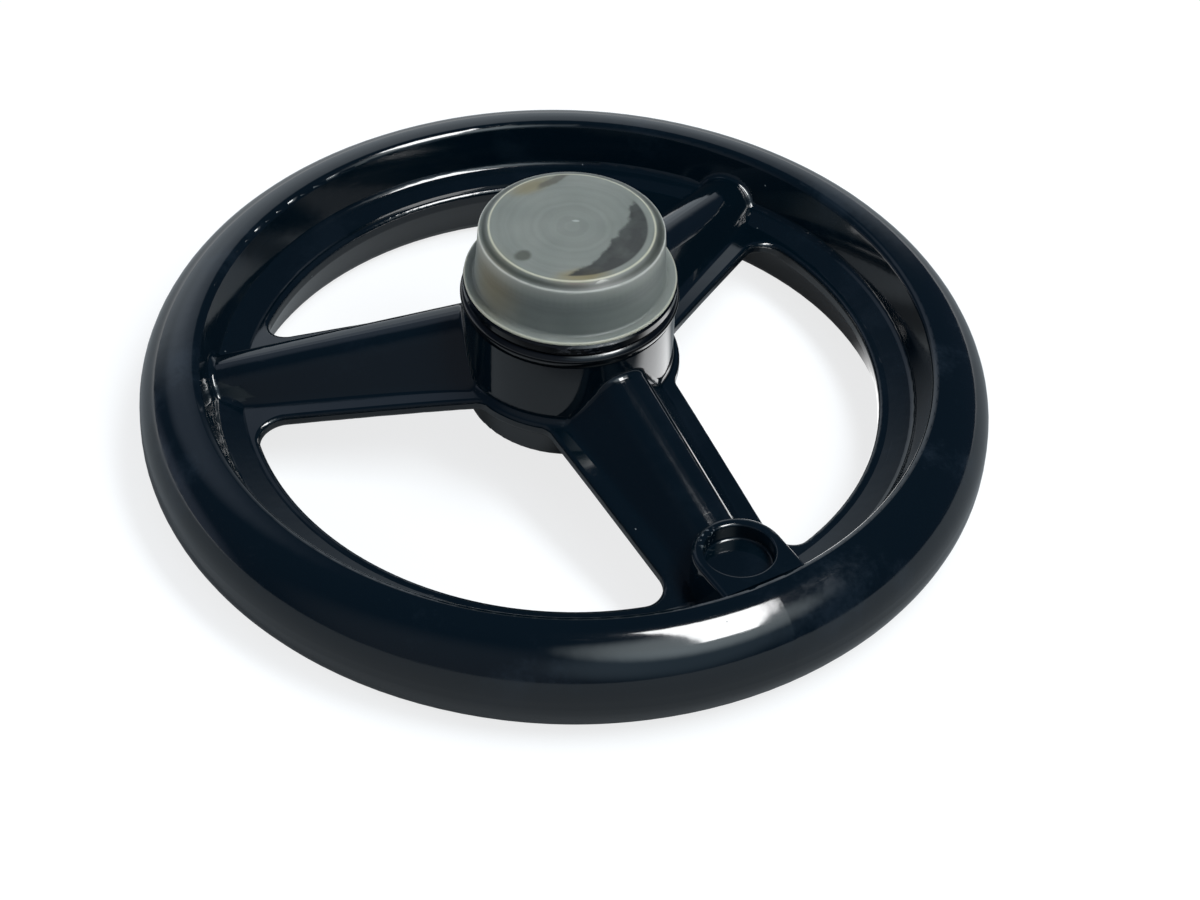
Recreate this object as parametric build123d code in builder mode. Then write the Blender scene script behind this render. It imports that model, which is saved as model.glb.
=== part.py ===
from build123d import *
import os
from math import hypot, radians, tan

# A three-spoke handwheel, moulded in one piece round a hexagon steel bush. A pressed-on collar
# closes the hub's shoulder, and a thin translucent cap covers the hub's end.
# Millimetres. +Z is the wheel's axis, z = 0 is the plane that the rim stands on, and the spoke
# with the handle boss points along -Y.

# ---------------------------------------------------------------- rim
wheel_radius = 100.0
rim_height = 26.5
grip_upper_radius = 12.6          # outer arc of the grip, above its widest band
grip_lower_radius = 11.5          # outer arc of the grip, below its widest band
crest_width = 1.4                 # flat between the grip's arc and the inner wall
crest_rounding = 1.8
crest_wall_height = 9.9           # of the wall that falls from the crest to the ledge
crest_wall_run = 3.7              # how far that wall leans inwards
ledge_width = 6.3
ledge_fall = 1.0                  # the ledge drops this much towards its inner side
ledge_rounding = 1.8
ledge_lip = 2.1                   # from the ledge's valley to the edge of the windows
rim_draft = 18.0                  # lean of the inner wall under the ledge, degrees
rim_foot_rounding = 5.0

# ---------------------------------------------------------------- web and windows
web_thickness = 3.2
web_rise = 10.8                   # from the ledge's valley up to the hub
web_ring_width = 1.7              # narrow ring of web left round the hub
spoke_count = 3
handle_spoke_angle = -90.0
spoke_width = 36.6                # of the flat flange, on the wheel's axis
spoke_end_width = 27.7            # of the flat flange, at the windows' outer edge
window_rim_fillet = 5.5
window_hub_fillet = 3.5
window_edge_rounding = 1.0

# ---------------------------------------------------------------- hollow ridge of each spoke
ridge_wall = 3.2
ridge_hub_height = 11.9           # above the web, where the ridge leaves the hub
ridge_end_height = 4.1            # above the ledge, where it runs into the crest's wall
ridge_top_width = 8.0
ridge_hub_width = 24.4            # at the web's face
ridge_end_width = 16.0
ridge_shoulder_rounding = 6.5
ridge_foot_rounding = 4.0
ridge_toe_sink = 0.3              # the foot's rounding runs out just under the web's face
ridge_foot_lap = 0.5              # of the ridge's base, past its foot's rounding
ridge_root_depth = 6.0            # how far the ridge runs on into the hub and the rim
ridge_root_rounding = 1.5         # where the ridge meets the hub's neck and the rim's wall
core_rounding = 1.0
core_end_gap = 1.5                # left between the hollow and the walls at its ends

# ---------------------------------------------------------------- hub
hub_radius = 24.6
hub_draft = 1.2                   # how much smaller the skirt is at its lower end
hub_skirt_length = 8.2            # below the web
hub_neck_length = 16.6            # above the web, up to the collar
hub_foot_rounding = 2.5
hub_end_rounding = 1.0
hub_shoulder_width = 4.2          # step round the spigot, which the collar sits on
spigot_height = 7.3               # above the collar
spigot_chamfer = 0.8
recess_wall = 3.4                 # of the spigot, round the recess for a washer and screw
recess_depth = 7.5

# ---------------------------------------------------------------- steel bush
bush_bore_radius = 10.0
bush_wall = 4.0                   # at the middle of its flats
bush_proud = 0.5                  # machined face left proud of the moulding underneath
bush_groove_width = 4.0
bush_groove_depth = 1.4
bush_chamfer = 0.8

# ---------------------------------------------------------------- collar
collar_height = 6.7
collar_stand = 0.1                # how far the collar stands out past the hub's neck
collar_bead_stand = 0.6           # how far the bead stands out past the collar
collar_bead_height = 3.4
collar_groove_depth = 0.6
collar_groove_width = 0.8
collar_bevel = 0.6
collar_undercut = 0.4

# ---------------------------------------------------------------- cap
cap_wall = 0.9
cap_clearance = 0.7               # round the spigot, at the cap's mouth
cap_headroom = 7.3                # from the spigot's end to the cap's outer face
cap_draft = 0.6                   # how much smaller the wall is at its shoulder
cap_shoulder_width = 2.55
cap_shoulder_height = 1.3
cap_flange_width = 2.5
cap_flange_thickness = 0.9
cap_edge_rounding = 0.5           # of the disc and the shoulder
cap_flange_rounding = 0.35
cap_foot_rounding = 0.6           # where the wall runs out into the flange

# ---------------------------------------------------------------- handle boss
boss_inset = 25.0                 # of its axis from the wheel's outside
boss_radius = 10.7
boss_drop = 0.2                   # of its face below the crest
boss_foot = 4.0                   # height of its lower end
boss_rounding = 1.2
pocket_radius = 8.0
pocket_depth = 4.3
pocket_rounding = 0.6

# ---------------------------------------------------------------- places worked out from these
touch = 0.01                      # two places nearer than this are the same place
# The grip's two arcs give way by the same share in a rim that is too low for both.
grip_share = min(1.0, (rim_height - touch) / (grip_upper_radius + grip_lower_radius))
grip_upper = grip_upper_radius * grip_share
grip_lower = grip_lower_radius * grip_share
crest_inner_radius = wheel_radius - grip_upper - crest_width
ledge_outer_radius = crest_inner_radius - crest_wall_run
ledge_inner_radius = ledge_outer_radius - ledge_width
window_outer_radius = ledge_inner_radius - ledge_lip
ledge_outer_height = rim_height - crest_wall_height
ledge_inner_height = ledge_outer_height - ledge_fall
web_ring_radius = hub_radius + web_ring_width
spigot_radius = hub_radius - hub_shoulder_width
collar_radius = hub_radius + collar_stand
web_hub_height = ledge_inner_height + web_rise
hub_bottom = web_hub_height - web_thickness - hub_skirt_length
hub_shoulder = web_hub_height + hub_neck_length
collar_top = hub_shoulder + collar_height
spigot_top = collar_top + spigot_height
bush_top = spigot_top - recess_depth
bush_bottom = hub_bottom - bush_proud
bush_flat_radius = bush_bore_radius + bush_wall
boss_distance = wheel_radius - boss_inset
boss_top = rim_height - boss_drop


def web_top(radius):
    """Height of the web's upper cone at a radius."""
    slope = (web_hub_height - ledge_inner_height) / (ledge_inner_radius - hub_radius)
    return web_hub_height - slope * (radius - hub_radius)


def along_spoke(at_ring, at_ledge, distance):
    """A size that changes evenly from the web ring to the ledge's outer radius."""
    share = (distance - web_ring_radius) / (ledge_outer_radius - web_ring_radius)
    return at_ring + (at_ledge - at_ring) * share


def ridge_top(distance):
    """Height of a ridge's flat top at a distance from the wheel's axis."""
    hub_end = web_top(web_ring_radius) + ridge_hub_height
    return along_spoke(hub_end, ledge_outer_height + ridge_end_height, distance)


def ridge_flare(distance):
    """How far a ridge's flank spreads outwards for each millimetre that it falls."""
    foot = along_spoke(ridge_hub_width, ridge_end_width, distance) / 2
    return (foot - ridge_top_width / 2) / (ridge_top(distance) - web_top(distance))


def corner(section, radius, height):
    """The corner of a turned section nearest to a place."""
    return section.vertices().sort_by(lambda spot: hypot(spot.X - radius, spot.Y - height))[0]


def between(edge, radii, heights):
    """Whether an edge's ends and middle lie between two radii and two heights."""
    return all(
        radii[0] < hypot(spot.X, spot.Y) < radii[1] and heights[0] < spot.Z < heights[1]
        for spot in (edge @ 0, edge @ 0.5, edge @ 1)
    )


# Hexagon bush with a turned groove that locks it endways in the moulding.
with BuildPart() as hub_bush:
    bush_length = bush_top - bush_bottom
    with BuildSketch(Plane.XY.offset(bush_bottom)):
        RegularPolygon(bush_flat_radius, 6, major_radius=False)
    extrude(amount=bush_length)
    with BuildSketch(Plane.XY.offset(bush_bottom + (bush_length - bush_groove_width) / 2)):
        Circle(2 * bush_flat_radius)
        Circle(bush_flat_radius - bush_groove_depth, mode=Mode.SUBTRACT)
    extrude(amount=bush_groove_width, mode=Mode.SUBTRACT)
    with BuildSketch(Plane.XY.offset(bush_bottom)):
        Circle(bush_bore_radius)
    extrude(amount=bush_length, mode=Mode.SUBTRACT)
    bore_mouths = hub_bush.edges().filter_by(GeomType.CIRCLE)
    bore_mouths = bore_mouths.filter_by(lambda mouth: abs(mouth.radius - bush_bore_radius) < touch)
    chamfer(bore_mouths, bush_chamfer)
hub_bush.part.label = "hub_bush"

# One spoke's ridge, drawn along +X: a trapezium with round shoulders that gets lower and
# narrower towards the rim.
with BuildPart() as spoke_ridge:
    ridge_start = hub_radius - ridge_root_depth
    ridge_end = ledge_outer_radius + ridge_root_depth - crest_rounding
    shoulder = ridge_top_width / 2
    for distance in (ridge_start, ridge_end):
        top = ridge_top(distance)
        flare = ridge_flare(distance)
        foot = shoulder + flare * (top - web_top(distance))
        toe_height = web_top(hypot(distance, foot)) - ridge_toe_sink
        toe = shoulder + flare * (top - toe_height)
        foot_run = ridge_foot_rounding * (hypot(1, flare) - flare)
        skirt = toe + foot_run + ridge_foot_lap
        base = toe_height - web_thickness / 2
        with BuildSketch(Plane(origin=(distance, 0, 0), x_dir=(0, 1, 0), z_dir=(1, 0, 0))) as section:
            Polygon(
                (-skirt, base),
                (skirt, base),
                (skirt, toe_height),
                (toe, toe_height),
                (shoulder, top),
                (-shoulder, top),
                (-toe, toe_height),
                (-skirt, toe_height),
                align=None,
            )
            fillet(section.vertices().group_by(Axis.Y)[-1], ridge_shoulder_rounding)
            inner_toes = section.vertices().filter_by(lambda spot: abs(abs(spot.X) - toe) < touch)
            fillet(inner_toes, ridge_foot_rounding)
    loft(ruled=True)

# The space under one ridge, open downwards.
with BuildPart() as spoke_core:
    core_start = hub_radius + core_end_gap
    core_end = window_outer_radius - core_end_gap
    for distance in (core_start, core_end):
        flare = ridge_flare(distance)
        flank_width = ridge_wall * hypot(1, flare)
        ceiling = ridge_top(distance) - ridge_wall
        ceiling_half_width = shoulder + flare * ridge_wall - flank_width
        base = web_top(distance) - 2 * web_thickness
        mouth = ceiling_half_width + flare * (ceiling - base)
        with BuildSketch(Plane(origin=(distance, 0, 0), x_dir=(0, 1, 0), z_dir=(1, 0, 0))) as section:
            Polygon(
                (-mouth, base),
                (mouth, base),
                (ceiling_half_width, ceiling),
                (-ceiling_half_width, ceiling),
                align=None,
            )
            fillet(section.vertices().group_by(Axis.Y)[-1], core_rounding)
    loft(ruled=True)

# Round boss at the end of the handle spoke, run on into the rim.
with BuildPart() as handle_boss:
    with BuildSketch(Plane.XY.offset(boss_foot)):
        with Locations((0, -boss_distance)):
            Circle(boss_radius)
            Rectangle(2 * boss_radius, boss_radius, align=(Align.CENTER, Align.MAX))
    extrude(amount=boss_top - boss_foot)
    fillet(handle_boss.faces().sort_by(Axis.Z)[-1].edges().sort_by(Axis.Y)[1:], boss_rounding)

with BuildPart() as handwheel:
    # Rim, web and hub in one turned section, which reaches well inside the bush's own space.
    # It is drawn in the handle spoke's plane, so that its seam is hidden under that ridge.
    seat_radius = (bush_bore_radius + bush_chamfer + bush_flat_radius - bush_groove_depth) / 2
    recess_radius = spigot_radius - recess_wall
    land_bottom = web_top(window_outer_radius) - web_thickness
    foot_inner_radius = window_outer_radius + land_bottom * tan(radians(rim_draft))
    with BuildSketch(Plane((0, 0, 0), x_dir=(0, -1, 0), z_dir=(-1, 0, 0))) as turned_section:
        with BuildLine():
            Polyline(
                (seat_radius, hub_bottom),
                (hub_radius - hub_draft, hub_bottom),
                (hub_radius, web_top(hub_radius) - web_thickness),
                (window_outer_radius, land_bottom),
                (foot_inner_radius, 0),
                (wheel_radius - grip_lower, 0),
            )
            RadiusArc((wheel_radius - grip_lower, 0), (wheel_radius, grip_lower), -grip_lower)
            Line((wheel_radius, grip_lower), (wheel_radius, rim_height - grip_upper))
            RadiusArc(
                (wheel_radius, rim_height - grip_upper),
                (wheel_radius - grip_upper, rim_height),
                -grip_upper,
            )
            Polyline(
                (wheel_radius - grip_upper, rim_height),
                (crest_inner_radius, rim_height),
                (ledge_outer_radius, ledge_outer_height),
                (ledge_inner_radius, ledge_inner_height),
                (hub_radius, web_hub_height),
                (hub_radius, hub_shoulder),
                (spigot_radius, hub_shoulder),
                (spigot_radius, spigot_top),
                (recess_radius, spigot_top),
                (recess_radius, bush_top),
                (seat_radius, bush_top),
                (seat_radius, hub_bottom),
            )
        make_face()
        fillet(corner(turned_section, foot_inner_radius, 0), rim_foot_rounding)
        fillet(corner(turned_section, crest_inner_radius, rim_height), crest_rounding)
        fillet(corner(turned_section, ledge_outer_radius, ledge_outer_height), ledge_rounding)
        fillet(corner(turned_section, hub_radius, web_hub_height), hub_foot_rounding)
        fillet(corner(turned_section, hub_radius - hub_draft, hub_bottom), hub_end_rounding)
        chamfer(corner(turned_section, spigot_radius, spigot_top), spigot_chamfer)
    revolve(axis=Axis.Z)

    # Windows between the spokes.
    with BuildSketch() as windows:
        Circle(window_outer_radius)
        Circle(web_ring_radius, mode=Mode.SUBTRACT)
        with PolarLocations(0, spoke_count, start_angle=handle_spoke_angle):
            Polygon(
                (0, -spoke_width / 2),
                (window_outer_radius, -spoke_end_width / 2),
                (wheel_radius, -spoke_end_width / 2),
                (wheel_radius, spoke_end_width / 2),
                (window_outer_radius, spoke_end_width / 2),
                (0, spoke_width / 2),
                align=None,
                mode=Mode.SUBTRACT,
            )
        rings = windows.vertices().group_by(lambda spot: round(hypot(spot.X, spot.Y), 1))
        fillet(rings[-1], window_rim_fillet)
        rings = windows.vertices().group_by(lambda spot: round(hypot(spot.X, spot.Y), 1))
        fillet(rings[0], window_hub_fillet)
    extrude(amount=hub_shoulder, mode=Mode.SUBTRACT)
    window_edges = handwheel.edges(Select.LAST).filter_by(Axis.Z, reverse=True)
    fillet(window_edges, window_edge_rounding)

    # Ridges, blended into the hub's neck and the rim's inner wall, then the spaces under them.
    with PolarLocations(0, spoke_count, start_angle=handle_spoke_angle):
        add(spoke_ridge.part)
    ridge_edges = handwheel.edges().filter_by(GeomType.BSPLINE)
    neck = (hub_radius - touch, hub_radius + touch), (web_hub_height, hub_shoulder)
    wall = (ledge_outer_radius - ledge_rounding, crest_inner_radius), (ledge_inner_height, rim_height)
    fillet(ridge_edges.filter_by(lambda edge: between(edge, *neck)), ridge_root_rounding)
    ridge_edges = handwheel.edges().filter_by(GeomType.BSPLINE)
    fillet(ridge_edges.filter_by(lambda edge: between(edge, *wall)), ridge_root_rounding)
    with PolarLocations(0, spoke_count, start_angle=handle_spoke_angle):
        add(spoke_core.part, mode=Mode.SUBTRACT)

    # Boss for a handle, with its blind pocket.
    add(handle_boss.part)
    with BuildSketch(Plane.XY.offset(boss_top - pocket_depth)):
        with Locations((0, -boss_distance)):
            Circle(pocket_radius)
    extrude(amount=rim_height, mode=Mode.SUBTRACT)
    pocket_circles = handwheel.edges().filter_by(GeomType.CIRCLE)
    pocket_circles = pocket_circles.filter_by(lambda mouth: abs(mouth.radius - pocket_radius) < touch)
    fillet(pocket_circles, pocket_rounding)

    # Seat of the moulded-in bush.
    add(hub_bush.part, mode=Mode.SUBTRACT)
handwheel.part.label = "handwheel"

# Collar pressed over the spigot onto the hub's shoulder, with a bead under a turned groove.
with BuildPart() as hub_collar:
    bead_bottom = hub_shoulder + collar_undercut
    bead_top = bead_bottom + collar_bead_height
    groove_top = bead_top + collar_groove_width
    neck_radius = collar_radius - collar_groove_depth
    with BuildSketch(Plane.XZ):
        with BuildLine():
            Polyline(
                (neck_radius, bead_bottom),
                (neck_radius, hub_shoulder),
                (spigot_radius, hub_shoulder),
                (spigot_radius, collar_top),
                (collar_radius - collar_bevel, collar_top),
                (collar_radius, collar_top - collar_bevel),
                (collar_radius, groove_top),
                (neck_radius, groove_top),
                (neck_radius, bead_top),
            )
            ThreePointArc(
                (neck_radius, bead_top),
                (collar_radius + collar_bead_stand, (bead_bottom + bead_top) / 2),
                (neck_radius, bead_bottom),
            )
        make_face()
    revolve(axis=Axis.Z)
hub_collar.part.label = "hub_collar"

# Thin cap: a flange on the collar's top, a slightly tapered wall and a raised disc on top.
with BuildPart() as hub_cap:
    flange_top = collar_top + cap_flange_thickness
    cap_top = spigot_top + cap_headroom
    cap_shoulder = cap_top - cap_shoulder_height
    cap_base_radius = spigot_radius + cap_clearance + cap_wall
    cap_shoulder_radius = cap_base_radius - cap_draft
    cap_disc_radius = cap_shoulder_radius - cap_shoulder_width
    cap_flange_radius = cap_base_radius + cap_flange_width
    with BuildSketch(Plane.XZ) as cap_section:
        with BuildLine():
            Polyline(
                (cap_base_radius - cap_wall, collar_top),
                (cap_flange_radius, collar_top),
                (cap_flange_radius, flange_top),
                (cap_base_radius, flange_top),
                (cap_shoulder_radius, cap_shoulder),
                (cap_disc_radius, cap_top),
                (0, cap_top),
                (0, cap_top - cap_wall),
                (cap_disc_radius - cap_wall / 2, cap_top - cap_wall),
                (cap_shoulder_radius - cap_wall, cap_shoulder - cap_wall / 2),
                (cap_base_radius - cap_wall, collar_top),
            )
        make_face()
        fillet(corner(cap_section, cap_disc_radius, cap_top), cap_edge_rounding)
        fillet(corner(cap_section, cap_shoulder_radius, cap_shoulder), cap_edge_rounding)
        fillet(corner(cap_section, cap_base_radius, flange_top), cap_foot_rounding)
        fillet(corner(cap_section, cap_flange_radius, flange_top), cap_flange_rounding)
        fillet(corner(cap_section, cap_flange_radius, collar_top), cap_flange_rounding)
    revolve(axis=Axis.Z)
hub_cap.part.label = "hub_cap"

os.makedirs("parts", exist_ok=True)
export_step(handwheel.part, "parts/handwheel.step")
export_step(hub_bush.part, "parts/hub_bush.step")
export_step(hub_collar.part, "parts/hub_collar.step")
export_step(hub_cap.part, "parts/hub_cap.step")
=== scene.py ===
# %% [markdown]
# # A moulded machine handwheel
# This notebook dresses a finished model of a handwheel: a black thermoset wheel with three
# hollow spokes, a steel bush in its hub, a grooved collar and a milky push-on cap. The solids
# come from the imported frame, at their real size and place, so the work here is light and finish.

import math

import bpy
import numpy as np
from mathutils import Matrix, Vector

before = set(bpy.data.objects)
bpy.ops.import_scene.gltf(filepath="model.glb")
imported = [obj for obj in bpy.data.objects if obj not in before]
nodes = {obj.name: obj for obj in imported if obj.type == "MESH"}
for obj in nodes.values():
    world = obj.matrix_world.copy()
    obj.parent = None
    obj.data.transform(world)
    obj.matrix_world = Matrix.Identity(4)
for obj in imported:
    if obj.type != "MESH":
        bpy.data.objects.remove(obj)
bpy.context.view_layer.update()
print("CAD nodes:", sorted(nodes))

# %% [markdown]
# ## Camera
# A long lens from about 0.8 m keeps the circles of the wheel close to true ellipses. The camera is
# given as it would be set up on a tripod: where it stands, how far it looks down, which way it
# turns and how much it is rolled. A little lens shift frames the wheel off the lens's centre.

# %% Camera
MM = 0.001
IMAGE_WIDTH, IMAGE_HEIGHT = 1200, 900
SENSOR_MM = 36.0
FOCAL_PX = 3511.3
CENTRE_PX = (643.2, 442.8)
CAMERA_PLACE_MM = (-324.33, -521.30, 573.19)
LOOK_DOWN_DEG = 43.118
HEADING_DEG = -33.655
ROLL_DEG = 3.336

camera_data = bpy.data.cameras.new("camera")
camera_data.sensor_width = SENSOR_MM
camera_data.lens = FOCAL_PX * SENSOR_MM / IMAGE_WIDTH
camera_data.shift_x = (IMAGE_WIDTH / 2 - CENTRE_PX[0]) / IMAGE_WIDTH
camera_data.shift_y = (CENTRE_PX[1] - IMAGE_HEIGHT / 2) / IMAGE_WIDTH
camera = bpy.data.objects.new("camera", camera_data)
camera_turn = (
    Matrix.Rotation(math.radians(HEADING_DEG), 4, "Z")
    @ Matrix.Rotation(math.radians(90 - LOOK_DOWN_DEG), 4, "X")
    @ Matrix.Rotation(math.radians(ROLL_DEG), 4, "Z")
)
camera.matrix_world = Matrix.Translation(Vector(CAMERA_PLACE_MM) * MM) @ camera_turn
bpy.context.scene.collection.objects.link(camera)
bpy.context.scene.camera = camera
bpy.context.scene.view_settings.view_transform = "Standard"
lens_shift = (round(camera_data.shift_x, 4), round(camera_data.shift_y, 4))
print(f"lens {camera_data.lens:.1f} mm, shift", lens_shift)

# %% [markdown]
# ## Materials
# One helper adds a node with its settings and links, and one turns the sRGB hex values that a
# colour picker gives into the linear values that the renderer works with.


# %% Helpers for nodes and colours
def linear(hex_colour):
    """A hex colour in sRGB as linear RGBA: each channel goes through the sRGB curve."""
    channels = [int(hex_colour[i : i + 2], 16) / 255 for i in (1, 3, 5)]
    return [c / 12.92 if c <= 0.04045 else ((c + 0.055) / 1.055) ** 2.4 for c in channels] + [1.0]


def add_node(material, kind, settings=None, inputs=None):
    """A new node: settings are its own properties, inputs are socket values or links."""
    tree = material.node_tree
    node = tree.nodes.new(kind)
    for name, value in (settings or {}).items():
        setattr(node, name, value)
    for name, value in (inputs or {}).items():
        if isinstance(value, bpy.types.NodeSocket):
            tree.links.new(value, node.inputs[name])
        else:
            node.inputs[name].default_value = value
    return node


print(f"a mid grey of #808080 is {linear('#808080')[0]:.3f} in linear light")

# %% [markdown]
# The same few nodes come back in every pattern, so each has a short name here. These helpers give
# back the socket that holds the result, which lets one feed straight into the next.

# %% Helpers for patterns
NUMBER_RESULTS = ("LENGTH", "DISTANCE", "DOT_PRODUCT")
# The Mix node keeps a socket for each kind of data, so its colours are reached by their places.
MIX_FACTOR, MIX_A, MIX_B, MIX_RESULT = 0, 6, 7, 2


def maths(material, operation, *values):
    """The result of a Math node."""
    inputs = dict(enumerate(values))
    return add_node(material, "ShaderNodeMath", {"operation": operation}, inputs).outputs[0]


def vector_maths(material, operation, *values):
    """The result of a Vector Math node: a number where it measures, otherwise a vector."""
    inputs = dict(enumerate(values))
    node = add_node(material, "ShaderNodeVectorMath", {"operation": operation}, inputs)
    return node.outputs["Value" if operation in NUMBER_RESULTS else "Vector"]


def scaled(material, vector, factor):
    """A vector or a colour times a number."""
    inputs = {0: vector, "Scale": factor}
    return add_node(material, "ShaderNodeVectorMath", {"operation": "SCALE"}, inputs).outputs[0]


def ramp(material, value, start, end, low=0.0, high=1.0, smooth=False):
    """Low up to the start, high from the end on, and a straight or smooth way between."""
    settings = {"interpolation_type": "SMOOTHSTEP" if smooth else "LINEAR"}
    inputs = {"Value": value, "From Min": start, "From Max": end, "To Min": low, "To Max": high}
    return add_node(material, "ShaderNodeMapRange", settings, inputs).outputs[0]


def noise(material, place, size_mm, detail, result="Fac", **inputs):
    """Noise with lumps of about the size given."""
    inputs |= {"Vector": place, "Scale": 1 / size_mm, "Detail": detail}
    return add_node(material, "ShaderNodeTexNoise", inputs=inputs).outputs[result]


def mixed(material, factor, first, second):
    """The first colour where the factor is 0, the second where it is 1."""
    inputs = {MIX_FACTOR: factor, MIX_A: first, MIX_B: second}
    return add_node(material, "ShaderNodeMix", {"data_type": "RGBA"}, inputs).outputs[MIX_RESULT]


def relief(material, height, depth_mm, sunk=False, **inputs):
    """A bump of the depth given, raised or sunk."""
    inputs |= {"Height": height, "Distance": depth_mm * MM, "Strength": 1.0}
    return add_node(material, "ShaderNodeBump", {"invert": sunk}, inputs).outputs[0]


print("pattern helpers: maths, vector_maths, scaled, ramp, noise, mixed, relief")

# %% [markdown]
# A material starts empty, works in millimetres on the object itself, and ends in one shader. A
# pattern in millimetres can be checked with a ruler, and it stays put when the cap is pulled off.


# %% Helpers for materials
def new_material(name):
    """A material with its node tree emptied."""
    material = bpy.data.materials.new(name)
    material.use_nodes = True
    material.node_tree.nodes.clear()
    return material


def object_mm(material):
    """Object coordinates in millimetres, so that each pattern is written at its real size."""
    place = add_node(material, "ShaderNodeTexCoord")
    return scaled(material, place.outputs["Object"], 1 / MM)


def finish_material(material, inputs):
    """Ends a material in one Principled shader and says what was made."""
    shader = add_node(material, "ShaderNodeBsdfPrincipled", inputs=inputs)
    add_node(material, "ShaderNodeOutputMaterial", inputs={"Surface": shader.outputs[0]})
    print("material", material.name, "with", len(material.node_tree.nodes), "nodes")


def dress(node_name, material):
    """Gives a CAD node its only material."""
    mesh = nodes[node_name].data
    mesh.materials.clear()
    mesh.materials.append(material)


print("one unit of the patterns is", MM, "m")

# %% [markdown]
# ## Black phenolic moulding
# The wheel is compression moulded from black phenolic resin in a polished steel mould, which gives
# a deep blue-black with a mirror gloss. Three things keep it from looking like computer glass: the
# faint orange peel that the resin takes as it cures, a film of dust and hand grease that use wipes
# about, and fine hairlines round the rim. They could be painted as an image, but noise on the
# wheel's own millimetres has no seams and stays sharp from close by.

# %% Phenolic: values
PHENOLIC_COLOUR = "#020d15"
PHENOLIC_IOR = 1.66
PHENOLIC_ROUGHNESS = 0.08
FILM_COLOUR = "#101b24"
FILM_ROUGHNESS = 0.17

phenolic = new_material("phenolic_moulding_black")
wheel_mm = object_mm(phenolic)
print("started", phenolic.name)

# %% [markdown]
# The film lies in patches, mostly on faces that look up and most of all on the grip, and a finer
# grain breaks their edges where cloth and fingers have dragged through. It softens the gloss much
# more than it lightens the colour, so a highlight blooms inside a patch and is sharp outside it.

# %% Phenolic: wiped film
FILM_PATCH_MM = 26.0
FILM_GRAIN_MM = 1.1
GRAIN_SHARE = 0.16
HANDLED_FROM_MM = 88.0
HANDLED_FADE_MM = 6.0
FILM_UNDERNEATH = 0.25
FILM_INSIDE_RIM = 0.3

patches = noise(phenolic, wheel_mm, FILM_PATCH_MM, 4.0, Roughness=0.62)
grain = noise(phenolic, wheel_mm, FILM_GRAIN_MM, 2.0)
broken_edge = maths(phenolic, "MULTIPLY_ADD", grain, GRAIN_SHARE, patches)
patch_mask = ramp(phenolic, broken_edge, 0.6, 0.78, smooth=True)

surface = add_node(phenolic, "ShaderNodeNewGeometry")
facing = add_node(phenolic, "ShaderNodeSeparateXYZ", inputs={0: surface.outputs["Normal"]})
settling = ramp(phenolic, facing.outputs["Z"], -0.2, 0.5, low=FILM_UNDERNEATH)
settled = maths(phenolic, "MULTIPLY", patch_mask, settling)

across = vector_maths(phenolic, "MULTIPLY", wheel_mm, (1.0, 1.0, 0.0))
reach = vector_maths(phenolic, "LENGTH", across)
handled = ramp(
    phenolic, reach, HANDLED_FROM_MM - HANDLED_FADE_MM, HANDLED_FROM_MM, low=FILM_INSIDE_RIM
)
film = maths(phenolic, "MULTIPLY", settled, handled)
print(f"film patches of {FILM_PATCH_MM:.0f} mm, strongest beyond radius {HANDLED_FROM_MM:.0f} mm")

# %% [markdown]
# Hairlines come from a noise that is stretched along the rim and cut down to its highest values,
# which leaves thin broken strokes. The noise is read at the angle round the axis, the radius and
# the height, each divided by the size that a stroke has in that direction.

# %% Phenolic: hairlines round the rim
HAIRLINE_LENGTH_MM = 16.0
HAIRLINE_WIDTH_MM = 0.4
HAIRLINE_DEPTH_MM = 0.002
GRIP_RADIUS_MM = 90.0

wheel_place = add_node(phenolic, "ShaderNodeSeparateXYZ", inputs={0: wheel_mm})
angle = maths(phenolic, "ARCTAN2", wheel_place.outputs["Y"], wheel_place.outputs["X"])
rim_place = add_node(
    phenolic,
    "ShaderNodeCombineXYZ",
    inputs={"X": angle, "Y": reach, "Z": wheel_place.outputs["Z"]},
)
stroke_counts = (
    GRIP_RADIUS_MM / HAIRLINE_LENGTH_MM,
    1 / HAIRLINE_WIDTH_MM,
    1 / HAIRLINE_WIDTH_MM,
)
stroke_place = vector_maths(phenolic, "MULTIPLY", rim_place.outputs[0], stroke_counts)
strokes = noise(phenolic, stroke_place, 1.0, 1.0)
hairlines = ramp(phenolic, strokes, 0.7, 0.78)
print(f"hairlines of {HAIRLINE_LENGTH_MM} x {HAIRLINE_WIDTH_MM} mm")

# %% [markdown]
# Dust flecks are the centres of a cell pattern, kept in about one cell of eight. The chips on the
# far side of the handle pocket's mouth are a broken noise inside a soft spot that sits on them.

# %% Phenolic: flecks and chips
FLECK_SPACING_MM = 6.5
FLECK_RADIUS_MM = 0.26
FLECK_CUT = 0.88
FLECK_COLOUR = "#555d61"
CHIPS_PLACE_MM = (-3.4, -69.4, 26.0)
CHIPS_REACH_MM = 4.3
CHIP_SIZE_MM = 0.9

cell_inputs = {"Vector": wheel_mm, "Scale": 1 / FLECK_SPACING_MM}
cells = add_node(phenolic, "ShaderNodeTexVoronoi", inputs=cell_inputs)
fleck_share = FLECK_RADIUS_MM / FLECK_SPACING_MM
cell_centre = ramp(phenolic, cells.outputs["Distance"], fleck_share, fleck_share / 2)
cell_draw = add_node(phenolic, "ShaderNodeSeparateXYZ", inputs={0: cells.outputs["Color"]})
kept_cell = maths(phenolic, "GREATER_THAN", cell_draw.outputs["X"], FLECK_CUT)
flecks = maths(phenolic, "MULTIPLY", cell_centre, kept_cell)

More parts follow.
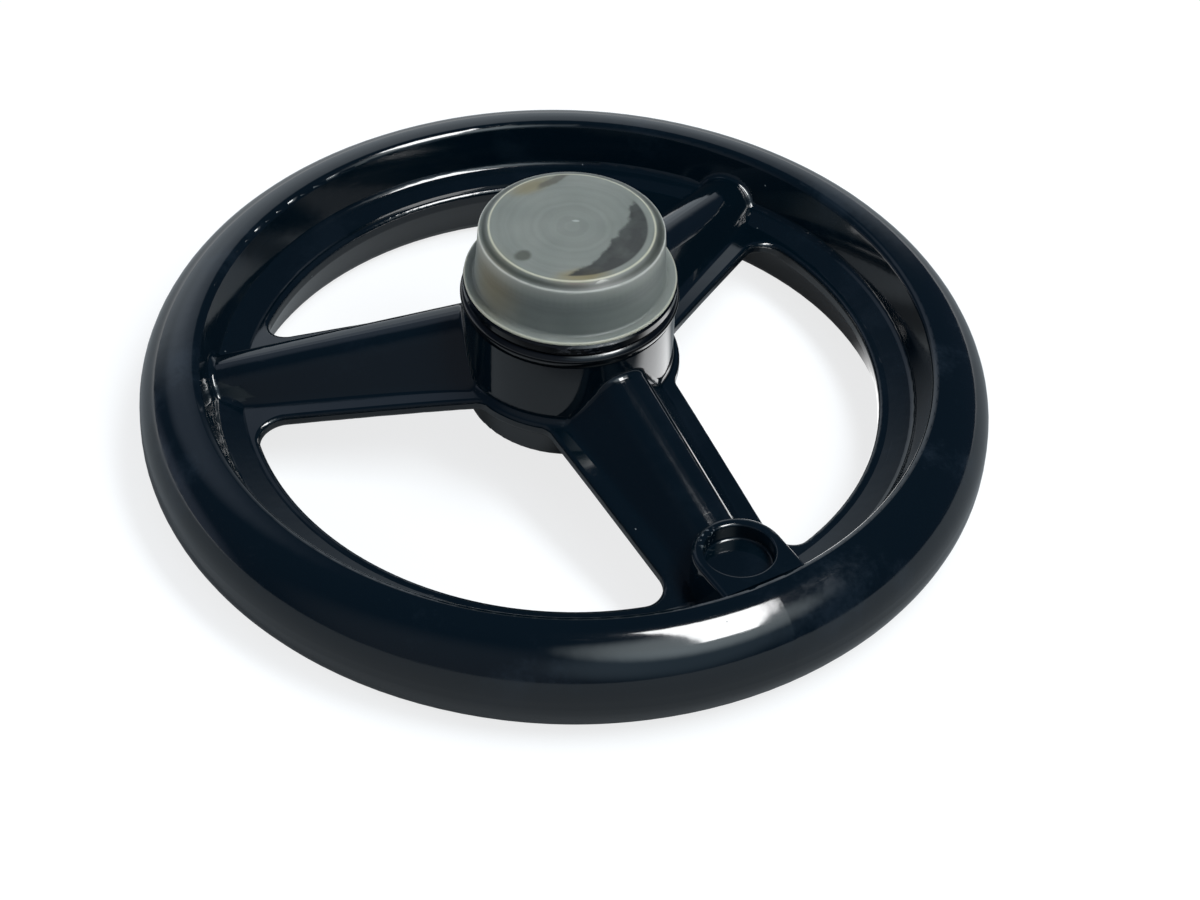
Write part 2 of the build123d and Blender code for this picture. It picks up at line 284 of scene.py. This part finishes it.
chips_distance = vector_maths(phenolic, "DISTANCE", wheel_mm, CHIPS_PLACE_MM)
chips_spot = ramp(phenolic, chips_distance, CHIPS_REACH_MM, 0.6 * CHIPS_REACH_MM)
crumbs = noise(phenolic, wheel_mm, CHIP_SIZE_MM, 2.0)
crumb_mask = ramp(phenolic, crumbs, 0.58, 0.64)
chips = maths(phenolic, "MULTIPLY", chips_spot, crumb_mask)
specks = maths(phenolic, "MAXIMUM", flecks, chips)
print(f"flecks {2 * FLECK_RADIUS_MM:.1f} mm across, chips within {CHIPS_REACH_MM} mm")

# %% [markdown]
# Colour, gloss and relief come together in one shader. Roughness adds up: the mould's polish, the
# film, then hairlines and specks on top. The relief is the orange peel, about a hundredth of a
# millimetre deep, with the hairlines cut into it.

# %% Phenolic: shader
ORANGE_PEEL_MM = 3.4
ORANGE_PEEL_DEPTH_MM = 0.012
HAIRLINE_DULLING = 0.06
SPECK_DULLING = 0.3

filmed = mixed(phenolic, film, linear(PHENOLIC_COLOUR), linear(FILM_COLOUR))
specked = mixed(phenolic, specks, filmed, linear(FLECK_COLOUR))
film_gloss = ramp(phenolic, film, 0.0, 1.0, low=PHENOLIC_ROUGHNESS, high=FILM_ROUGHNESS)
lined_gloss = maths(phenolic, "MULTIPLY_ADD", hairlines, HAIRLINE_DULLING, film_gloss)
speck_gloss = maths(phenolic, "MULTIPLY_ADD", specks, SPECK_DULLING, lined_gloss)
peel = noise(phenolic, wheel_mm, ORANGE_PEEL_MM, 1.0)
peel_relief = relief(phenolic, peel, ORANGE_PEEL_DEPTH_MM)
line_relief = relief(phenolic, hairlines, HAIRLINE_DEPTH_MM, sunk=True, Normal=peel_relief)
finish_material(
    phenolic,
    {
        "Base Color": specked,
        "Roughness": speck_gloss,
        "IOR": PHENOLIC_IOR,
        "Normal": line_relief,
    },
)
dress("handwheel", phenolic)

# %% [markdown]
# ## Collar
# The collar is a separate black ring, as glossy as the hub it sits on. Its top bevel is scuffed
# where the cap has been prised off, which shows as short grey rubs. A soft spot, the distance to a
# place divided by a size for each axis and cut to a mask, keeps them on the front.


# %% Collar: where it is scuffed
SCUFF_PLACE_MM = (-9.0, -22.5, 48.6)
SCUFF_HALF_SIZES_MM = (10.0, 6.0, 1.8)


def spot(material, place, centre, half_sizes, outer, inner, strength=1.0, turn_deg=0.0):
    """A soft spot: nothing beyond outer, its full strength within inner, in half sizes."""
    inputs = {
        "Vector": place,
        "Location": centre,
        "Rotation": (0.0, 0.0, math.radians(turn_deg)),
        "Scale": half_sizes,
    }
    node = add_node(material, "ShaderNodeMapping", {"vector_type": "TEXTURE"}, inputs)
    distance = vector_maths(material, "LENGTH", node.outputs[0])
    return ramp(material, distance, outer, inner, high=strength, smooth=True)


collar_black = new_material("collar_moulding_black")
collar_mm = object_mm(collar_black)
scuff_spot = spot(collar_black, collar_mm, SCUFF_PLACE_MM, SCUFF_HALF_SIZES_MM, 1.0, 0.5)
print("scuffs round", SCUFF_PLACE_MM, "mm")

# %% [markdown]
# The rubs themselves are a noise that is stretched round the collar, which gives them the
# direction of the tool that slid along it. A rub is paler, duller and a little raised at its burr.

# %% Collar: rubs and shader
COLLAR_COLOUR = "#020509"
COLLAR_ROUGHNESS = 0.1
COLLAR_HAZE_MM = 5.0
SCUFF_COLOUR = "#2c2e33"
SCUFF_LENGTH_MM = 3.0
SCUFF_WIDTH_MM = 0.7
SCUFF_HEADING_DEG = -20.0
SCUFF_DULLING = 0.2
SCUFF_BURR_MM = 0.01

rub_inputs = {
    "Vector": collar_mm,
    "Rotation": (0.0, 0.0, math.radians(SCUFF_HEADING_DEG)),
    "Scale": (1 / SCUFF_LENGTH_MM, 1 / SCUFF_WIDTH_MM, 1 / SCUFF_WIDTH_MM),
}
rub_place = add_node(collar_black, "ShaderNodeMapping", inputs=rub_inputs)
rubs = noise(collar_black, rub_place.outputs[0], 1.0, 2.0)
rub_mask = ramp(collar_black, rubs, 0.5, 0.62)
scuffs = maths(collar_black, "MULTIPLY", scuff_spot, rub_mask)
haze = noise(collar_black, collar_mm, COLLAR_HAZE_MM, 3.0)
haze_gloss = ramp(
    collar_black, haze, 0.4, 0.7, low=COLLAR_ROUGHNESS, high=2 * COLLAR_ROUGHNESS
)
finish_material(
    collar_black,
    {
        "Base Color": mixed(collar_black, scuffs, linear(COLLAR_COLOUR), linear(SCUFF_COLOUR)),
        "Roughness": maths(collar_black, "MULTIPLY_ADD", scuffs, SCUFF_DULLING, haze_gloss),
        "IOR": PHENOLIC_IOR,
        "Normal": relief(collar_black, scuffs, SCUFF_BURR_MM),
    },
)
dress("hub_collar", collar_black)

# %% [markdown]
# ## Turned steel bush
# The bush is free-cutting steel, faced and bored on a lathe after moulding, so its faces carry
# fine rings and its bore fine threads of tool marks. Real marks are about 0.15 mm apart, too fine
# to show, and are drawn at 0.5 mm. A brown bloom of old oil keeps the steel from looking new.

# %% Steel bush
STEEL_COLOUR = "#b4b1ab"
STEEL_ROUGHNESS = 0.24
OILED_COLOUR = "#7d6f5f"
OILED_ROUGHNESS = 0.42
OIL_PATCH_MM = 6.0
TOOL_MARK_MM = 0.5
TOOL_MARK_DEPTH_MM = 0.008
# The Wave texture lays one ring every 2 pi / 20 units of its coordinates.
WAVE_UNITS = 2 * math.pi / 20

steel = new_material("turned_free_cutting_steel")
bush_mm = object_mm(steel)
mark_inputs = {"Vector": bush_mm, "Scale": WAVE_UNITS / TOOL_MARK_MM, "Distortion": 0.4}
face_rings = add_node(
    steel, "ShaderNodeTexWave", {"wave_type": "RINGS", "rings_direction": "Z"}, mark_inputs
)
bore_marks = add_node(
    steel, "ShaderNodeTexWave", {"wave_type": "BANDS", "bands_direction": "Z"}, mark_inputs
)
tool_marks = maths(steel, "ADD", face_rings.outputs["Fac"], bore_marks.outputs["Fac"])
bloom = ramp(steel, noise(steel, bush_mm, OIL_PATCH_MM, 4.0), 0.45, 0.7, smooth=True)
finish_material(
    steel,
    {
        "Base Color": mixed(steel, bloom, linear(STEEL_COLOUR), linear(OILED_COLOUR)),
        "Metallic": 1.0,
        "Roughness": ramp(steel, bloom, 0.0, 1.0, low=STEEL_ROUGHNESS, high=OILED_ROUGHNESS),
        "Normal": relief(steel, tool_marks, TOOL_MARK_DEPTH_MM),
    },
)
dress("hub_bush", steel)

# %% [markdown]
# ## Milky polyethylene cap
# The cap is low-density polyethylene, moulded thin. It is neither clear nor opaque: light goes in,
# scatters for a few millimetres and partly comes out on the other side, so the wall has no hard
# shadows. Scattering under the surface does that, with a little rough transmission, and a thin
# edge looks paler by painted highlights. Its marks follow the disc: a gate mark by the middle,
# faint rings left by the turned mould, a darker grey crescent, a round spot and tan rubs.

# %% Cap: cloudy plastic
CAP_COLOUR = "#838984"
CAP_CLOUD_COLOUR = "#7b827d"
CAP_CLOUD_MM = 9.0

polyethylene = new_material("milky_polyethylene")
cap_mm = object_mm(polyethylene)
clouds = noise(polyethylene, cap_mm, CAP_CLOUD_MM, 4.0)
cloud_shade = ramp(polyethylene, clouds, 0.3, 0.7)
cap_colour = mixed(polyethylene, cloud_shade, linear(CAP_CLOUD_COLOUR), linear(CAP_COLOUR))
print("started", polyethylene.name)

# %% [markdown]
# Each stain is a soft spot like the collar's. A noise is added to the place first, so that no
# stain has a compass-drawn edge. Dirt lies on top of what is under it, so the stains are mixed in
# one after the other.

# %% Cap: stains
STAIN_WANDER_MM = 1.6
WANDER_SIZE_MM = 4.0
STAINS = (
    # name, centre, half sizes, turn in degrees, how soft, colour, how strong
    ("round_spot", (-14.8, -3.3, 64.3), (1.9, 1.9, 1.0), 0.0, 0.6, "#4c5048", 0.85),
    ("tan_rub", (-0.9, 17.0, 64.3), (4.9, 2.0, 1.2), 0.0, 1.3, "#817b60", 0.8),
    ("tan_streak", (4.6, 16.2, 64.3), (4.4, 1.0, 1.0), 8.0, 0.6, "#575750", 0.8),
    ("wall_rub", (-22.3, -2.0, 58.0), (4.0, 7.5, 7.0), 0.0, 1.6, "#948663", 0.5),
    ("front_rub", (-6.6, -15.8, 64.2), (5.2, 2.0, 1.4), -20.0, 1.4, "#8c8159", 0.75),
    ("step_stain", (13.0, -15.2, 63.6), (1.6, 9.5, 1.6), -41.0, 0.9, "#4b4a42", 0.5),
    ("step_fleck", (-3.4, -19.4, 63.7), (1.7, 0.35, 0.6), -8.0, 0.6, "#e6e8dd", 0.9),
    ("step_rust", (-9.0, -17.6, 63.7), (2.6, 0.6, 0.8), -27.0, 0.8, "#80665a", 0.5),
    ("gate_mark", (1.4, 1.4, 64.3), (0.75, 0.42, 0.8), -30.0, 0.8, "#b4beb9", 0.8),
)

wander = noise(polyethylene, cap_mm, WANDER_SIZE_MM, 3.0, result="Color")
centred_wander = vector_maths(polyethylene, "SUBTRACT", wander, (0.5, 0.5, 0.5))
drifted = vector_maths(
    polyethylene, "MULTIPLY_ADD", centred_wander, (STAIN_WANDER_MM,) * 3, cap_mm
)
for name, centre, half_sizes, turn_deg, soft, colour, strength in STAINS:
    mask = spot(
        polyethylene, drifted, centre, half_sizes, 1 + soft / 2, 1 - soft / 2, strength, turn_deg
    )
    cap_colour = mixed(polyethylene, mask, cap_colour, linear(colour))
print("cap stains:", [stain[0] for stain in STAINS])

# %% [markdown]
# The crescent is what is left of the disc outside one large circle and inside another, like the
# dark part of a moon. Its inner edge wanders with the same noise as the stains, more widely, and
# the crescent itself is blotched by a coarser noise.

# %% Cap: dark crescent
CRESCENT_COLOUR = "#353838"
CRESCENT_OUTER_MM = 17.2
CRESCENT_CIRCLE_MM = (-16.5, 26.9, 64.3)
CRESCENT_CIRCLE_RADIUS_MM = 42.0
CRESCENT_WANDER_MM = 2.2
OUTER_FADE_MM = 0.3
INNER_FADE_MM = 0.5
BLOTCH_SIZE_MM = 4.5
BLOTCH_STRENGTHS = (0.8, 0.95)

disc_place = vector_maths(polyethylene, "MULTIPLY", cap_mm, (1.0, 1.0, 0.0))
disc_reach = vector_maths(polyethylene, "LENGTH", disc_place)
inside_disc = ramp(
    polyethylene,
    disc_reach,
    CRESCENT_OUTER_MM + OUTER_FADE_MM,
    CRESCENT_OUTER_MM - OUTER_FADE_MM,
    smooth=True,
)
ragged = vector_maths(
    polyethylene, "MULTIPLY_ADD", centred_wander, (CRESCENT_WANDER_MM,) * 3, drifted
)
outside_circle = ramp(
    polyethylene,
    vector_maths(polyethylene, "DISTANCE", ragged, CRESCENT_CIRCLE_MM),
    CRESCENT_CIRCLE_RADIUS_MM - INNER_FADE_MM,
    CRESCENT_CIRCLE_RADIUS_MM + INNER_FADE_MM,
    smooth=True,
)
blotches = noise(polyethylene, cap_mm, BLOTCH_SIZE_MM, 2.0)
blotch_strength = ramp(polyethylene, blotches, 0.35, 0.6, *BLOTCH_STRENGTHS)
crescent_shape = maths(polyethylene, "MULTIPLY", inside_disc, outside_circle)
crescent = maths(polyethylene, "MULTIPLY", crescent_shape, blotch_strength)
cap_colour = mixed(polyethylene, crescent, cap_colour, linear(CRESCENT_COLOUR))
print(f"crescent inside radius {CRESCENT_OUTER_MM} mm")

# %% [markdown]
# A thin edge of translucent plastic gathers light from both its faces, and the step between the
# disc and the wall lets the dark inside show. Both are painted into the colour: painted highlights
# as pale bands at the disc's edge, the shoulder and the flange, painted shade as a dark band on
# the step and a faint one down the wall, each at full strength on its radius and fading softly to
# either side.

# %% Cap: painted highlights on the edges and painted shade on the step
CAP_EDGE_PAINTED_HIGHLIGHT_COLOUR = "#cbccb3"
CAP_SHOULDER_PAINTED_HIGHLIGHT_COLOUR = "#c6c9bf"
CAP_STEP_PAINTED_SHADE_COLOUR = "#363c37"
CAP_WALL_PAINTED_SHADE_COLOUR = "#555c58"
PAINTED_EDGE_LIGHT_AND_SHADE_BANDS = (
    # radius, half width, colour, how strong
    (20.2, 1.4, CAP_STEP_PAINTED_SHADE_COLOUR, 0.9),
    (22.4, 0.9, CAP_WALL_PAINTED_SHADE_COLOUR, 0.1),
    (18.95, 0.4, CAP_EDGE_PAINTED_HIGHLIGHT_COLOUR, 0.75),
    (21.3, 0.35, CAP_SHOULDER_PAINTED_HIGHLIGHT_COLOUR, 0.85),
    (24.5, 0.5, CAP_EDGE_PAINTED_HIGHLIGHT_COLOUR, 0.85),
)

# Each band paints a highlight or a shade into the cap's colour.
for band_radius, half_width, colour, strength in PAINTED_EDGE_LIGHT_AND_SHADE_BANDS:
    from_band = maths(polyethylene, "SUBTRACT", disc_reach, band_radius)
    off_band = maths(polyethylene, "ABSOLUTE", from_band)
    painted_band = ramp(polyethylene, off_band, half_width, 0.0, high=strength, smooth=True)
    cap_colour = mixed(polyethylene, painted_band, cap_colour, linear(colour))
print("edge bands at radii", [band[0] for band in PAINTED_EDGE_LIGHT_AND_SHADE_BANDS], "mm")

# %% [markdown]
# The mould was turned, so the disc and the wall carry faint rings. They are a noise read along
# one line only, the radius plus the height, which makes rings on the disc and lines on the wall.

# %% Cap: rings
RING_SPACING_MM = 2.0
RING_SHADES = (0.95, 1.05)

cap_place = add_node(polyethylene, "ShaderNodeSeparateXYZ", inputs={0: drifted})
ring_place = maths(polyethylene, "ADD", disc_reach, cap_place.outputs["Z"])
rings = add_node(
    polyethylene,
    "ShaderNodeTexNoise",
    {"noise_dimensions": "1D"},
    {"W": ring_place, "Scale": 1 / RING_SPACING_MM, "Detail": 2.0},
)
ring_shade = ramp(polyethylene, rings.outputs["Fac"], 0.3, 0.7, *RING_SHADES)
cap_colour = scaled(polyethylene, cap_colour, ring_shade)
print(f"mould rings about {RING_SPACING_MM} mm apart")

# %% [markdown]
# The shader scatters most of the light that enters and lets a little through. Polyethylene is
# waxy, so its gloss is broad, and a fine grain roughens it.

# %% Cap: shader
CAP_IOR = 1.51
CAP_ROUGHNESSES = (0.42, 0.56)
CAP_SCATTER = 0.8
CAP_SCATTER_MM = 6.0
CAP_SCATTER_COLOURS = (1.0, 1.0, 0.9)
CAP_TRANSMISSION = 0.12
CAP_GRAIN_MM = 0.6
CAP_GRAIN_DEPTH_MM = 0.012

cap_grain = noise(polyethylene, cap_mm, CAP_GRAIN_MM, 2.0)
finish_material(
    polyethylene,
    {
        "Base Color": cap_colour,
        "Roughness": ramp(polyethylene, clouds, 0.35, 0.65, *CAP_ROUGHNESSES),
        "IOR": CAP_IOR,
        "Transmission Weight": CAP_TRANSMISSION,
        "Subsurface Weight": CAP_SCATTER,
        "Subsurface Radius": CAP_SCATTER_COLOURS,
        "Subsurface Scale": CAP_SCATTER_MM * MM,
        "Normal": relief(polyethylene, cap_grain, CAP_GRAIN_DEPTH_MM),
    },
)
dress("hub_cap", polyethylene)

# %% [markdown]
# ## Floor
# A sheet of pale paper lies under the wheel. Lit by the lamp alone it would be grey at this light
# level, so it also gives off a little light of its own, but only to rays that come from the camera
# or by way of gloss and clear plastic: they see it white, the wheel keeps its soft shadow on it,
# and no extra light falls on the wheel.

# %% Floor: sheet
FLOOR_HALF = 3.0

floor_corners = [
    (x * FLOOR_HALF, y * FLOOR_HALF, 0) for x, y in ((-1, -1), (1, -1), (1, 1), (-1, 1))
]
floor_mesh = bpy.data.meshes.new("floor")
floor_mesh.from_pydata(floor_corners, [], [(0, 1, 2, 3)])
floor = bpy.data.objects.new("floor", floor_mesh)
bpy.context.scene.collection.objects.link(floor)
print(f"floor {2 * FLOOR_HALF:.0f} m across")

# %% [markdown]
# In gloss the sheet shows painted light and shade: it is brightest on the far side and dimmer on
# the near one, a painted shade for the near side, which lies in the shade of the camera. A painted
# pool of light sits where the panel also strikes it straight through the right window, and the
# hub's neck mirrors that bright place.

# %% Floor: painted light and shade in gloss
GLOSS_GLOW_NEAR, GLOSS_GLOW_FAR = 0.04, 0.7
FAR_DIRECTION_DEG = 75.0
FAR_REACH = 0.6
LIGHT_POOL_PLACE = (0.052, -0.028, 0.0)
LIGHT_POOL_REACH = 0.034
PAINTED_LIGHT_POOL_GLOW = 2.2

paper = new_material("white_paper")
rays = add_node(paper, "ShaderNodeLightPath")
floor_place = add_node(paper, "ShaderNodeTexCoord").outputs["Object"]
far_angle = math.radians(FAR_DIRECTION_DEG)
far_direction = (math.cos(far_angle), math.sin(far_angle), 0.0)
far_side = vector_maths(paper, "DOT_PRODUCT", floor_place, far_direction)
# Painted shade on the near side and painted light on the far side, given off to gloss only.
far_side_painted_light = ramp(paper, far_side, 0.0, FAR_REACH, GLOSS_GLOW_NEAR, GLOSS_GLOW_FAR, smooth=True)
# A painted pool of light right of the hub, which the hub's neck mirrors.
light_pool_distance = vector_maths(paper, "DISTANCE", floor_place, LIGHT_POOL_PLACE)
painted_light_pool = ramp(
    paper, light_pool_distance, LIGHT_POOL_REACH, 0.5 * LIGHT_POOL_REACH, high=PAINTED_LIGHT_POOL_GLOW, smooth=True
)
painted_gloss_light = maths(paper, "ADD", far_side_painted_light, painted_light_pool)
seen_in_gloss = maths(paper, "MULTIPLY", rays.outputs["Is Glossy Ray"], painted_gloss_light)
print(f"floor in gloss: {GLOSS_GLOW_NEAR} near, {GLOSS_GLOW_FAR} far, {PAINTED_LIGHT_POOL_GLOW} in one place")

# %% [markdown]
# Paper is matt, and its colour only shows in how the wheel's shadow falls on it.

# %% Floor: paper
PAPER_COLOUR = "#7f8589"
PAPER_ROUGHNESS = 0.9
PAPER_GLOW = 0.78
WHITE = (1.0, 1.0, 1.0, 1.0)

seen_directly = maths(
    paper, "MAXIMUM", rays.outputs["Is Camera Ray"], rays.outputs["Is Transmission Ray"]
)
finish_material(
    paper,
    {
        "Base Color": linear(PAPER_COLOUR),
        "Roughness": PAPER_ROUGHNESS,
        "Emission Color": WHITE,
        "Emission Strength": maths(
            paper, "MULTIPLY_ADD", seen_directly, PAPER_GLOW, seen_in_gloss
        ),
    },
)
floor_mesh.materials.append(paper)

# %% [markdown]
# ## Lamp and room
# A gloss black part is drawn by what it mirrors. One long ceiling panel gives the broad white
# highlights. The power of an area lamp is its brightness times its area times pi, so the panel can
# be resized without a change to how bright it looks in the gloss.

# %% Ceiling panel
PANEL_HEIGHT = 2.0
PANEL_CENTRE = (0.59, -0.81)
PANEL_SIZE = (0.54, 1.66)
PANEL_RADIANCE = 17.0

panel_data = bpy.data.lights.new("ceiling_panel", "AREA")
panel_data.shape = "RECTANGLE"
panel_data.size, panel_data.size_y = PANEL_SIZE
panel_data.energy = PANEL_RADIANCE * math.pi * PANEL_SIZE[0] * PANEL_SIZE[1]
panel = bpy.data.objects.new("ceiling_panel", panel_data)
panel.location = (*PANEL_CENTRE, PANEL_HEIGHT)
bpy.context.scene.collection.objects.link(panel)
print(f"panel {panel_data.energy:.0f} W")

# %% [markdown]
# The rest of the room sends a wide, weak light from the far left. It evens out the pale cap, which
# scatters it, and would only add a false highlight to the gloss, so gloss doesn't see it.

# %% Fill light
FILL_PLACE = (-1.4, 1.05, 0.5)
FILL_SIZE = 1.2
FILL_RADIANCE = 4.9

fill_data = bpy.data.lights.new("room_fill", "AREA")
fill_data.shape = "DISK"
fill_data.size = FILL_SIZE
fill_data.energy = FILL_RADIANCE * math.pi * math.pi * FILL_SIZE**2 / 4
fill = bpy.data.objects.new("room_fill", fill_data)
fill.location = FILL_PLACE
fill.rotation_euler = Vector(FILL_PLACE).to_track_quat("Z", "Y").to_euler()
fill.visible_glossy = False
bpy.context.scene.collection.objects.link(fill)
print(f"fill {fill_data.energy:.0f} W")

# %% [markdown]
# Around the panel the room is a dim blue-grey, with a pale wall beyond the wheel and a bright
# patch past the panel's near end. It is a few soft lobes in the world, each an s-curve over the
# angle from its centre, because the gloss only needs broad shapes to mirror.

# %% Room: lobes
ROOM_COLOUR = (0.035, 0.045, 0.07)
ROOM_LOBES = (
    # name, azimuth, elevation, full within, gone beyond, colour
    ("pale_wall", 72.0, 5.0, 14.0, 40.0, (0.6, 0.66, 0.7)),
    ("high_wall", 94.0, 38.0, 5.0, 23.0, (0.2, 0.23, 0.28)),
    ("low_wall", 135.0, -4.0, 10.0, 26.0, (0.16, 0.18, 0.23)),
    ("left_wall", 215.0, 22.0, 15.0, 50.0, (0.08, 0.085, 0.09)),
    ("bright_patch", 285.0, 55.0, 8.0, 28.0, (1.5, 1.7, 1.75)),
    ("near_wall", 268.0, 28.0, 8.0, 35.0, (0.22, 0.3, 0.36)),
)

world = bpy.data.worlds.new("room")
bpy.context.scene.world = world
world.use_nodes = True
world.node_tree.nodes.clear()
looking = add_node(world, "ShaderNodeTexCoord").outputs["Generated"]
room = vector_maths(world, "ADD", ROOM_COLOUR, (0.0, 0.0, 0.0))
for name, azimuth, elevation, full, gone, colour in ROOM_LOBES:
    level = math.cos(math.radians(elevation))
    direction = (
        level * math.cos(math.radians(azimuth)),
        level * math.sin(math.radians(azimuth)),
        math.sin(math.radians(elevation)),
    )
    alike = vector_maths(world, "DOT_PRODUCT", looking, direction)
    edges = (math.cos(math.radians(gone)), math.cos(math.radians(full)))
    lobe = ramp(world, alike, *edges, smooth=True)
    room = vector_maths(world, "ADD", room, scaled(world, colour, lobe))
print("room lobes:", [row[0] for row in ROOM_LOBES])

# %% [markdown]
# Seen directly, or through the cap, the room is white, so that the wheel stands free as it would
# in a catalogue. Only the gloss and the matt faces meet the room itself.

# %% Room: white behind the wheel
rays = add_node(world, "ShaderNodeLightPath")
seen_white = maths(
    world, "MAXIMUM", rays.outputs["Is Camera Ray"], rays.outputs["Is Transmission Ray"]
)
shown = mixed(world, seen_white, room, WHITE)
background = add_node(world, "ShaderNodeBackground", inputs={"Color": shown, "Strength": 1.0})
add_node(world, "ShaderNodeOutputWorld", inputs={"Surface": background.outputs[0]})
print("world with", len(world.node_tree.nodes), "nodes")
